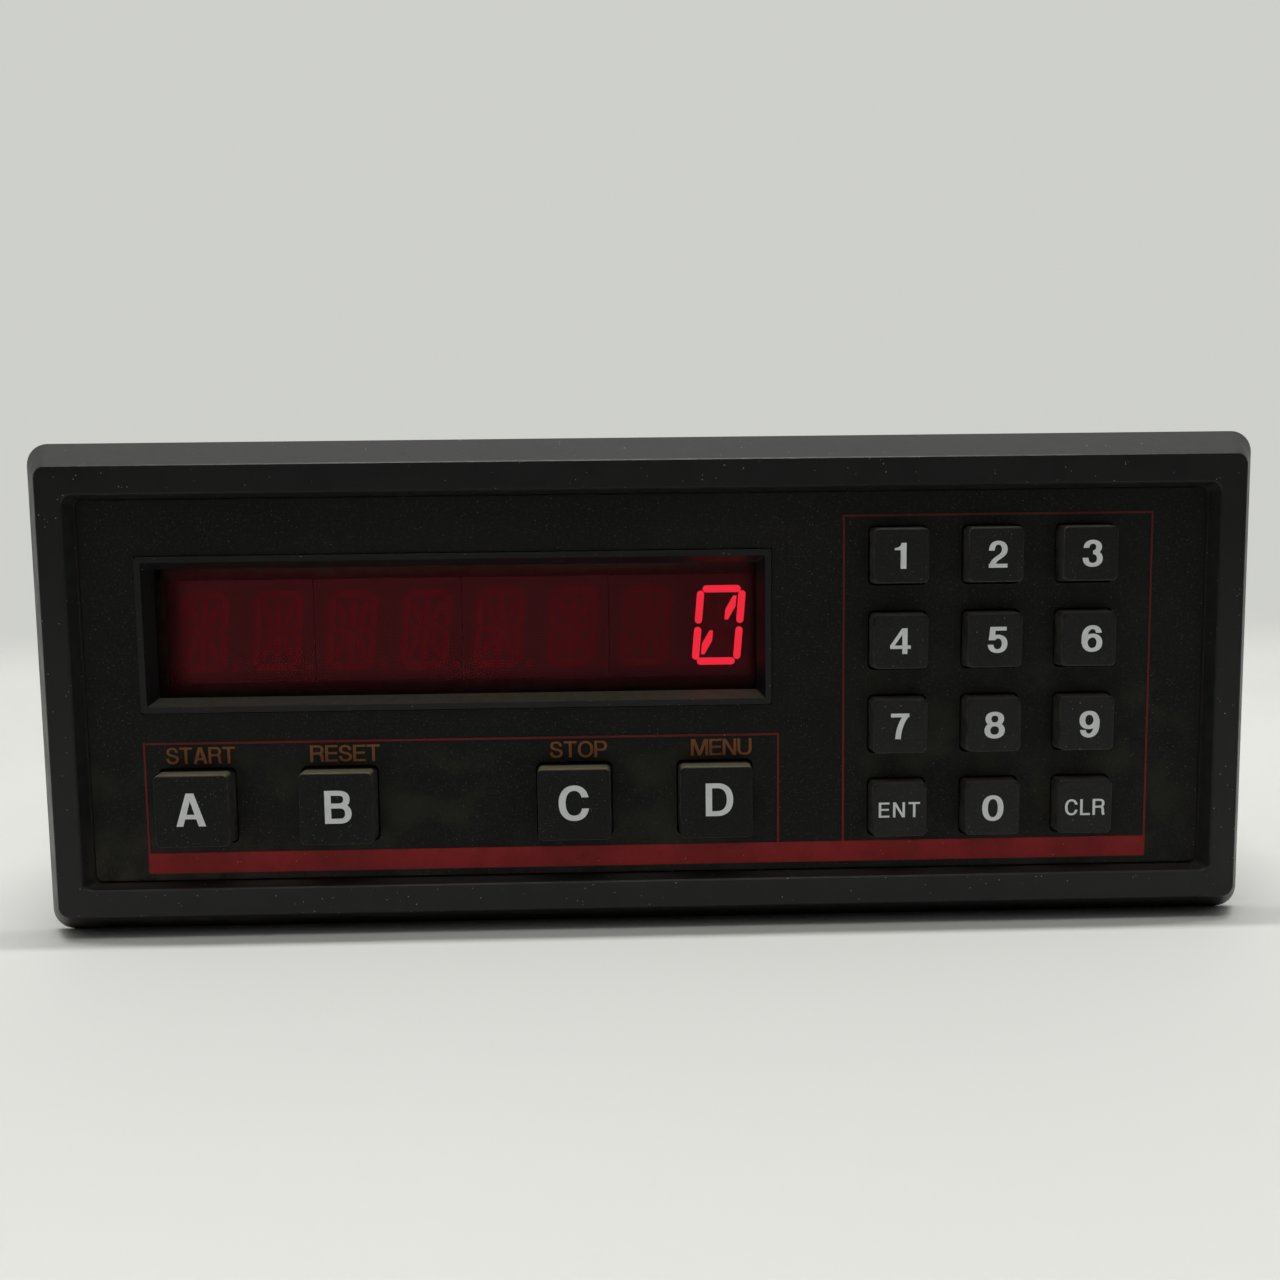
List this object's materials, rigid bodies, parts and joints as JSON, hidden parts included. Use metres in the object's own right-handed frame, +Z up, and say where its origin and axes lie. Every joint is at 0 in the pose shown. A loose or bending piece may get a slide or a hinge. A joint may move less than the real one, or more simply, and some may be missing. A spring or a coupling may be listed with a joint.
{
  "type": "batch totalizer",
  "caption": "Panel-mounted batch totalizer with a flared black bezel, a red digital display, a number keypad, a row of function keys and a boxed metal case.",
  "frame": {"origin": "middle of the bounding box's bottom, under the instrument", "axes": "+X to the right seen from the front, +Y from the front face to the rear terminals, +Z up"},
  "size_m": [0.2064, 0.1624, 0.0829],
  "materials": {
    "bezel_plastic": "fine-textured black moulding",
    "faceplate_plastic": "matt black overlay",
    "red_print": "dull red screen print",
    "window_plastic": "smooth black moulding",
    "red_filter": "clear dark red acrylic",
    "display_plastic": "dark filled plastic",
    "unlit_segment": "unlit diffuser",
    "circuit_board": "green solder mask",
    "switch_plastic": "black moulding",
    "chip_plastic": "black moulding compound",
    "key_plastic": "smooth black moulding",
    "screw_steel": "zinc-plated steel",
    "gasket_rubber": "closed-cell foam rubber",
    "case_metal": "black anodised aluminium",
    "clamp_metal": "plain cast aluminium",
    "stud_brass": "plain brass",
    "core_steel": "varnished laminations",
    "coil_tape": "yellow winding tape",
    "capacitor_sleeve": "shrunk-on sleeve",
    "sink_aluminium": "extruded aluminium",
    "relay_cover": "moulded cover",
    "fuse_glass": "glass tube with metal caps",
    "clip_metal": "tinned spring metal",
    "ribbon_plastic": "grey flat cable",
    "plug_plastic": "black moulding",
    "terminal_plastic": "green moulding",
    "lit_segment": "lit red diffuser"
  },
  "bodies": {
    "housing": {"bezel_frame": "bezel_plastic", "faceplate": "faceplate_plastic", "printed_lines": "red_print", "window_frame": "window_plastic", "red_filter": "red_filter", "display_module_1": "display_plastic", "display_module_2": "display_plastic", "display_module_3": "display_plastic", "display_module_4": "display_plastic", "unlit_segments": "unlit_segment", "lit_segments": "lit_segment", "front_board": "circuit_board", "key_switches": "switch_plastic", "driver_chips": "chip_plastic", "front_board_screws": "screw_steel", "bezel_screws": "screw_steel", "panel_gasket": "gasket_rubber", "case_sleeve": "case_metal", "rear_panel": "case_metal", "rear_panel_screws": "screw_steel", "side_clamp_left": "clamp_metal", "side_clamp_right": "clamp_metal", "jack_screws": "screw_steel", "main_board": "circuit_board", "board_standoffs": "stud_brass", "board_screws": "screw_steel", "transformer_core": "core_steel", "transformer_coil": "coil_tape", "filter_capacitors": "capacitor_sleeve", "heat_sink": "sink_aluminium", "voltage_regulator": "chip_plastic", "output_relays": "relay_cover", "logic_chips": "chip_plastic", "fuse": "fuse_glass", "fuse_clips": "clip_metal", "ribbon_cable": "ribbon_plastic", "ribbon_connectors": "plug_plastic", "supply_terminals": "terminal_plastic", "relay_terminals": "terminal_plastic", "signal_terminals": "terminal_plastic", "terminal_screws": "screw_steel", "earth_stud": "stud_brass"},
    "digit_1_key": {"key_1": "key_plastic"},
    "digit_2_key": {"key_2": "key_plastic"},
    "digit_3_key": {"key_3": "key_plastic"},
    "digit_4_key": {"key_4": "key_plastic"},
    "digit_5_key": {"key_5": "key_plastic"},
    "digit_6_key": {"key_6": "key_plastic"},
    "digit_7_key": {"key_7": "key_plastic"},
    "digit_8_key": {"key_8": "key_plastic"},
    "digit_9_key": {"key_9": "key_plastic"},
    "enter_key": {"key_enter": "key_plastic"},
    "digit_0_key": {"key_0": "key_plastic"},
    "clear_key": {"key_clear": "key_plastic"},
    "start_key": {"key_a": "key_plastic"},
    "reset_key": {"key_b": "key_plastic"},
    "stop_key": {"key_c": "key_plastic"},
    "menu_key": {"key_d": "key_plastic"}
  },
  "joints": [
    {"name": "press_1", "type": "slide", "parent": "housing", "child": "digit_1_key", "axis": [0, 1, 0], "range_m": [0, 0.0012], "stiffness_N_per_m": 1500, "springref_m": -0.0004},
    {"name": "press_2", "type": "slide", "parent": "housing", "child": "digit_2_key", "axis": [0, 1, 0], "range_m": [0, 0.0012], "stiffness_N_per_m": 1500, "springref_m": -0.0004},
    {"name": "press_3", "type": "slide", "parent": "housing", "child": "digit_3_key", "axis": [0, 1, 0], "range_m": [0, 0.0012], "stiffness_N_per_m": 1500, "springref_m": -0.0004},
    {"name": "press_4", "type": "slide", "parent": "housing", "child": "digit_4_key", "axis": [0, 1, 0], "range_m": [0, 0.0012], "stiffness_N_per_m": 1500, "springref_m": -0.0004},
    {"name": "press_5", "type": "slide", "parent": "housing", "child": "digit_5_key", "axis": [0, 1, 0], "range_m": [0, 0.0012], "stiffness_N_per_m": 1500, "springref_m": -0.0004},
    {"name": "press_6", "type": "slide", "parent": "housing", "child": "digit_6_key", "axis": [0, 1, 0], "range_m": [0, 0.0012], "stiffness_N_per_m": 1500, "springref_m": -0.0004},
    {"name": "press_7", "type": "slide", "parent": "housing", "child": "digit_7_key", "axis": [0, 1, 0], "range_m": [0, 0.0012], "stiffness_N_per_m": 1500, "springref_m": -0.0004},
    {"name": "press_8", "type": "slide", "parent": "housing", "child": "digit_8_key", "axis": [0, 1, 0], "range_m": [0, 0.0012], "stiffness_N_per_m": 1500, "springref_m": -0.0004},
    {"name": "press_9", "type": "slide", "parent": "housing", "child": "digit_9_key", "axis": [0, 1, 0], "range_m": [0, 0.0012], "stiffness_N_per_m": 1500, "springref_m": -0.0004},
    {"name": "press_enter", "type": "slide", "parent": "housing", "child": "enter_key", "axis": [0, 1, 0], "range_m": [0, 0.0012], "stiffness_N_per_m": 1500, "springref_m": -0.0004},
    {"name": "press_0", "type": "slide", "parent": "housing", "child": "digit_0_key", "axis": [0, 1, 0], "range_m": [0, 0.0012], "stiffness_N_per_m": 1500, "springref_m": -0.0004},
    {"name": "press_clear", "type": "slide", "parent": "housing", "child": "clear_key", "axis": [0, 1, 0], "range_m": [0, 0.0012], "stiffness_N_per_m": 1500, "springref_m": -0.0004},
    {"name": "press_start", "type": "slide", "parent": "housing", "child": "start_key", "axis": [0, 1, 0], "range_m": [0, 0.0012], "stiffness_N_per_m": 1500, "springref_m": -0.0004},
    {"name": "press_reset", "type": "slide", "parent": "housing", "child": "reset_key", "axis": [0, 1, 0], "range_m": [0, 0.0012], "stiffness_N_per_m": 1500, "springref_m": -0.0004},
    {"name": "press_stop", "type": "slide", "parent": "housing", "child": "stop_key", "axis": [0, 1, 0], "range_m": [0, 0.0012], "stiffness_N_per_m": 1500, "springref_m": -0.0004},
    {"name": "press_menu", "type": "slide", "parent": "housing", "child": "menu_key", "axis": [0, 1, 0], "range_m": [0, 0.0012], "stiffness_N_per_m": 1500, "springref_m": -0.0004}
  ]
}
